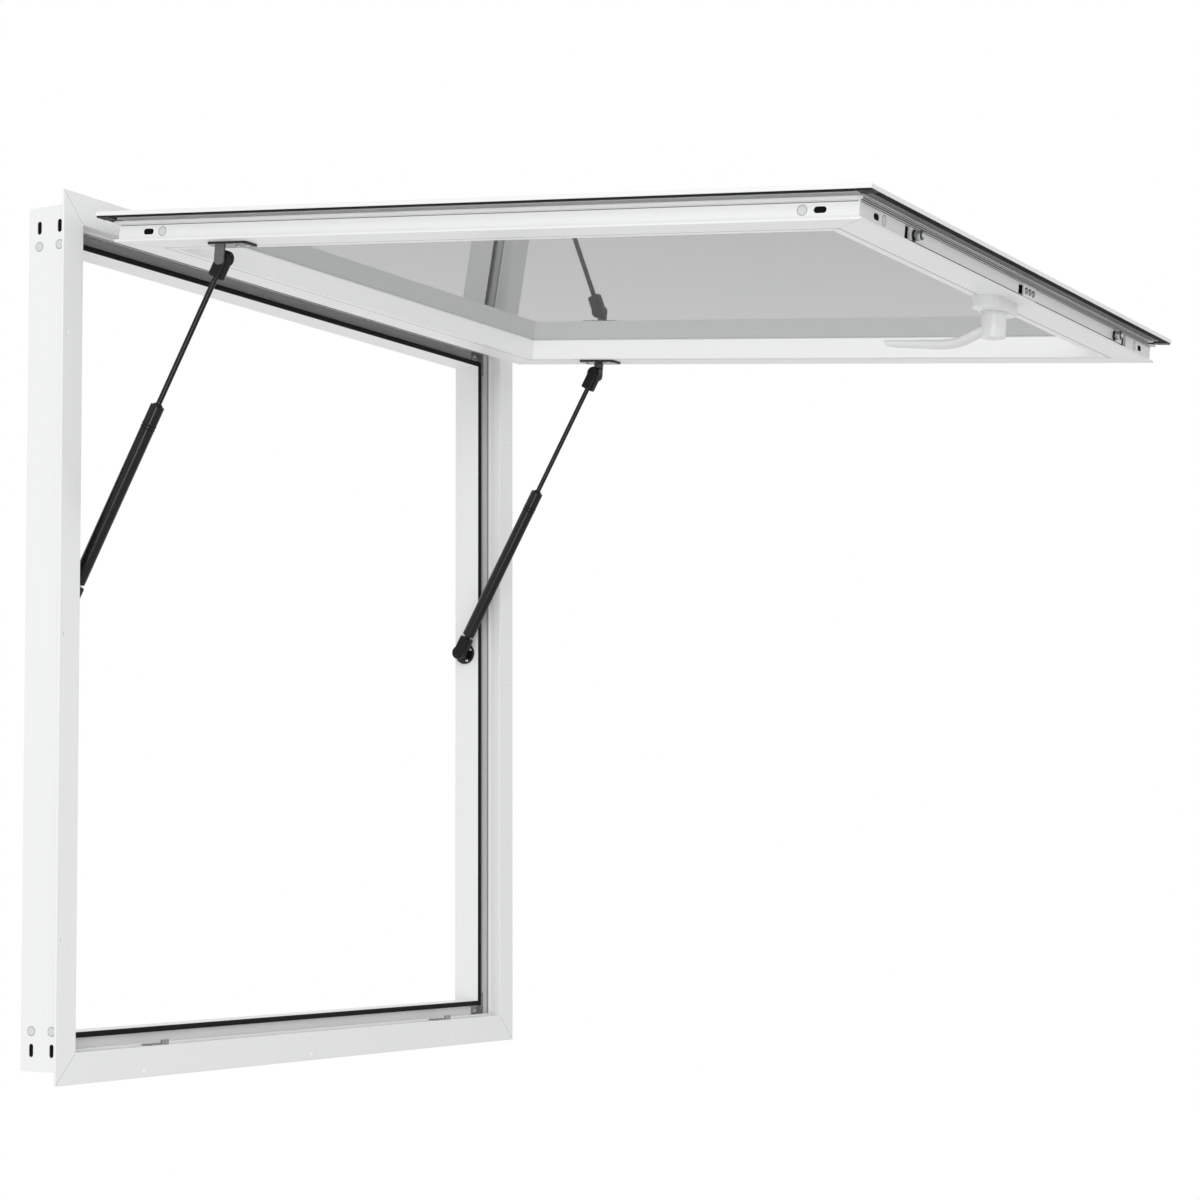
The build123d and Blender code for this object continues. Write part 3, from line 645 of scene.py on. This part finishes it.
class HATCH_OT_seams(bpy.types.Operator):
    """Fine lines where the mitred bars meet and at the beads' joint, and lines of painted shade along the sash's
    outer sides
    """

    bl_idname = "hatch.seams"
    bl_label = "Seams and lines"

    def execute(self, context):
        width = context.scene.hatch_hardware.seam_width
        line = context.scene.hatch_hardware.line_width
        flange_outer, flange_inner = 0.467, 0.436
        room_outer, lip_outer, glass_edge = 0.426, 0.44, 0.378

        def mitre(sx, sz, y, outer, inner, normal, sash):
            """A seam along the diagonal of one corner."""
            start = (sx * outer, y, centre_z + sz * outer)
            return seam(start, (sx * inner, y, centre_z + sz * inner), normal, width, sash)

        flange = []
        sash = []
        for sx in (-1, 1):
            for sz in (-1, 1):
                flange.append(mitre(sx, sz, flange_front, flange_outer, flange_inner, (0, -1, 0), False))
                sash.append(mitre(sx, sz, room_face, room_outer, glass_edge, (0, 1, 0), True))
                sash.append(mitre(sx, sz, lip_front, lip_outer, glass_edge, (0, -1, 0), True))
        inset, spread, edge_lift = 0.0535, 0.6 * line, 0.00001
        joint = [
            (inset - spread, room_face + edge_lift),
            (inset, room_face + seam_lift),
            (inset + spread, room_face + edge_lift),
        ]
        sash.append(patch(framed(lip_half, joint), True))
        # Painted shade: grey lines along both stiles and the bottom rail, at the channel's edge and at a step of
        # the profile
        foot, top, end = 0.04, 0.883, 0.4215
        for y in (0.0005, 0.0152):
            for side in (-1, 1):
                x = side * sash_half
                sash.append(seam((x, y, foot), (x, y, top), (side, 0, 0), line, True))
            sash.append(seam((-end, y, sash_foot), (end, y, sash_foot), (0, 0, -1), line, True))
        piece("flange_seams", flange, "seam_shadow", "frame", False)
        piece("sash_seams", sash, "seam_shadow", "sash", False)
        return {"FINISHED"}


class HATCH_OT_seals(bpy.types.Operator):
    """Ribs on the frame gasket, the seal's corner caps, grooved grey strips of painted shade in the sash's channel
    and on the frame's web, and the line round the glass
    """

    bl_idname = "hatch.seals"
    bl_label = "Seals"

    def execute(self, context):
        both = (-1, 1)
        depth, up = (0, 1, 0), (0, 0, 1)
        rib = half_ring(0.0006, -0.0004)
        gasket_face = np.array([0, 0.01856, centre_z])
        ribs = []
        for inset in (0.0352, 0.0368):
            size = 2 * (box_half - inset)
            path, out = rounded_rectangle(size, size, 0.002)
            ribs.append(patch(carried(path, rib, out, depth) + gasket_face, False))
        piece("gasket_ribs", ribs, "rubber", "frame")
        size = context.scene.hatch_hardware.cap_size
        layers = [(0.0, 0.0019), (0.9, 0.0019), (1.0, 0.0015), (1.0, 0.0)]
        cap_face, reach = -0.007, 0.4412 - size / 2
        square = (size, size, 0.002)
        caps = [
            pad((sx * reach, cap_face, centre_z + sz * reach), (1, 0, 0), up, depth, square, layers)
            for sx in both for sz in both
        ]
        piece("seal_corner_caps", [patch(cap, True) for cap in caps], "black_nylon", "sash")
        # Grey grooved strips on the channel floor of both rails and on the lip's room-side face: painted shade in
        # the channel under the lip
        path = np.array([(-0.42, 0, centre_z), (0.42, 0, centre_z)])
        across, relief = grooved(-0.0068, -0.0008, 0.42058, -0.0003)
        strips = [carried(path, np.stack([across, side * relief], -1)[::side], depth, up) for side in both]
        across, relief = grooved(0.4353, 0.4231, -0.00696, 0.0003)
        strips += [carried(path, np.stack([relief, side * across[::side]], -1), depth, up) for side in both]
        strips = [patch(strip, True, False) for strip in strips]
        piece("rail_channel_shade_strips", strips, "channel_shade_grey", "sash", False)
        # Grey grooved strips on the frame's web and a dark line at its ridge: painted shade where the open sash
        # shades the frame's inside
        web = np.stack(grooved(0.0327, 0.0204, 0.02494, -0.00035), -1)
        ridge = [(0.02223, 0.0168), (0.02226, 0.0156), (0.02223, 0.0144)]
        strips = [patch(np.roll(framed(box_half, shape), -2, 0), False, False) for shape in (web, ridge)]
        piece("web_shade_strips", strips, "web_shade_grey", "frame", False)
        edge = framed(box_half, [(0.03903, 0.025), (0.0392, 0.0247), (0.0392, 0.0204), (0.03903, 0.0203)])
        piece("gasket_edge", [patch(edge, False)], "white_coat", "frame", False)
        line = framed(lip_half, [(0.0632, -0.0062), (0.0636, -0.0055), (0.0643, -0.0059), (0.0645, -0.0062)])
        piece("glazing_line", [patch(line, True)], "plug_pale", "sash", False)
        return {"FINISHED"}


class HATCH_OT_handle_trim(bpy.types.Operator):
    """The collar round the handle's neck and the cap on its end"""

    bl_idname = "hatch.handle_trim"
    bl_label = "Handle trim"

    def execute(self, context):
        neck_z, collar_y, cap_y = 0.0675, 0.031, 0.0583
        collar = [(0.0131, 0.0012), (0.0137, 0.0012), (0.0144, 0.0009), (0.0146, 0.0003), (0.0142, 0.0),
                  (0.0131, 0.0)]
        ring = turned((0, collar_y, neck_z), (0, 1, 0), collar, 48)
        piece("neck_collar", [patch(ring, True)], "white_handle", "sash")
        cap = [(pole_radius, 0.0002), (0.0035, 0.0002), (0.0042, 0.0004), (0.0060, 0.0004), (0.0064, 0.0001),
               (0.0066, -0.0002)]
        disc = turned((0, cap_y, neck_z), (0, 1, 0), cap, 36)
        piece("neck_cap", [patch(disc, True)], "white_handle", "handle")
        return {"FINISHED"}


def lamp(name, place, aim, size, power):
    """A square area light at a place, turned towards a point."""
    data = bpy.data.lights.new(name, "AREA")
    data.size = size
    data.energy = power
    made = bpy.data.objects.new(name, data)
    made.location = place
    made.rotation_euler = (Vector(aim) - Vector(place)).to_track_quat("-Z", "Y").to_euler()
    made.visible_camera = False
    made.visible_transmission = False
    bpy.context.scene.collection.objects.link(made)


class HATCH_OT_stage(bpy.types.Operator):
    """Pale floor, soft light, white surroundings and the camera"""

    bl_idname = "hatch.stage"
    bl_label = "Stage"

    def execute(self, context):
        scene = context.scene
        scene.view_settings.view_transform = "Standard"
        floor_radius, floor_height, floor_tone = 10.5, -1.5, 0.82
        rings = np.linspace(0.01, floor_radius, 13)
        disc = turned((0, 0, floor_height), (0, 0, 1), np.stack([rings, 0 * rings], -1), 72)
        vertices, quads = patch(disc, False)
        mesh = bpy.data.meshes.new("floor")
        mesh.from_pydata(vertices.tolist(), [], quads.tolist())
        floor = bpy.data.objects.new("floor", mesh)
        scene.collection.objects.link(floor)
        paint = bpy.data.materials.new("pale_floor")
        paint.use_nodes = True
        shader = paint.node_tree.nodes["Principled BSDF"]
        shader.inputs["Base Color"].default_value = (floor_tone, floor_tone, floor_tone, 1)
        shader.inputs["Roughness"].default_value = 0.9
        mesh.materials.append(paint)
        world = bpy.data.worlds.new("white_room")
        scene.world = world
        world.use_nodes = True
        tree = world.node_tree
        soft = tree.nodes["Background"]
        soft.inputs["Color"].default_value = (1, 1, 1, 1)
        soft.inputs["Strength"].default_value = 0.75
        white = tree.nodes.new("ShaderNodeBackground")
        white.inputs["Color"].default_value = (1, 1, 1, 1)
        white.inputs["Strength"].default_value = 1.0
        ray = tree.nodes.new("ShaderNodeLightPath")
        seen = maths(tree, "MAXIMUM", ray.outputs["Is Camera Ray"], ray.outputs["Is Glossy Ray"])
        seen = maths(tree, "MAXIMUM", seen, ray.outputs["Is Transmission Ray"])
        mix = tree.nodes.new("ShaderNodeMixShader")
        tree.links.new(seen, mix.inputs["Fac"])
        tree.links.new(soft.outputs[0], mix.inputs[1])
        tree.links.new(white.outputs[0], mix.inputs[2])
        tree.links.new(mix.outputs[0], tree.nodes["World Output"].inputs["Surface"])
        # Lamps, each with its place, aim, size in metres and power in watts
        lamp("key_light", (-4.0, -2.0, 2.2), (0, 0, 0.5), 2.5, 55)
        lamp("fill_light", (-3.2, -1.4, -0.5), (0.2, -0.2, 0.7), 0.7, 15)
        lamp("room_light", (0.3, 1.7, -0.6), (0, -0.3, 0.9), 1.5, 8)
        # The camera, solved from the edges of the flange and of the sash's lip
        data = bpy.data.cameras.new("camera")
        data.sensor_width = 36.0
        data.lens = 85.501
        data.shift_x = 0.08
        data.shift_y = 0.07
        data.clip_start = 0.05
        eye = bpy.data.objects.new("camera", data)
        eye.location = (-2.7806, -1.8909, 0.219)
        yaw, pitch = math.radians(30.3514), math.radians(3.6727)
        ahead = Vector((math.cos(pitch) * math.cos(yaw), math.cos(pitch) * math.sin(yaw), math.sin(pitch)))
        eye.rotation_euler = ahead.to_track_quat("-Z", "Y").to_euler()
        scene.collection.objects.link(eye)
        scene.camera = eye
        return {"FINISHED"}


operators = (
    HATCH_OT_finishes,
    HATCH_OT_plugs,
    HATCH_OT_screws,
    HATCH_OT_lock_rollers,
    HATCH_OT_strut_rings,
    HATCH_OT_seams,
    HATCH_OT_seals,
    HATCH_OT_handle_trim,
    HATCH_OT_stage,
)


class HATCH_PT_panel(bpy.types.Panel):
    """Lists the hatch's steps and sizes in the sidebar"""

    bl_idname = "HATCH_PT_panel"
    bl_label = "Serving hatch"
    bl_space_type = "VIEW_3D"
    bl_region_type = "UI"
    bl_category = "Serving hatch"

    def draw(self, context):
        for operator in operators:
            self.layout.operator(operator.bl_idname)
        for settings in (context.scene.hatch_finish, context.scene.hatch_hardware):
            for name in settings.__annotations__:
                self.layout.prop(settings, name)


classes = (FinishSettings, HardwareSettings) + operators + (HATCH_PT_panel,)


def register():
    for item in classes:
        bpy.utils.register_class(item)
    bpy.types.Scene.hatch_finish = bpy.props.PointerProperty(type=FinishSettings)
    bpy.types.Scene.hatch_hardware = bpy.props.PointerProperty(type=HardwareSettings)


def unregister():
    del bpy.types.Scene.hatch_finish
    del bpy.types.Scene.hatch_hardware
    for item in reversed(classes):
        bpy.utils.unregister_class(item)


def main():
    register()
    for operator in operators:
        group, name = operator.bl_idname.split(".")
        getattr(getattr(bpy.ops, group), name)()


if __name__ == "__main__":
    main()
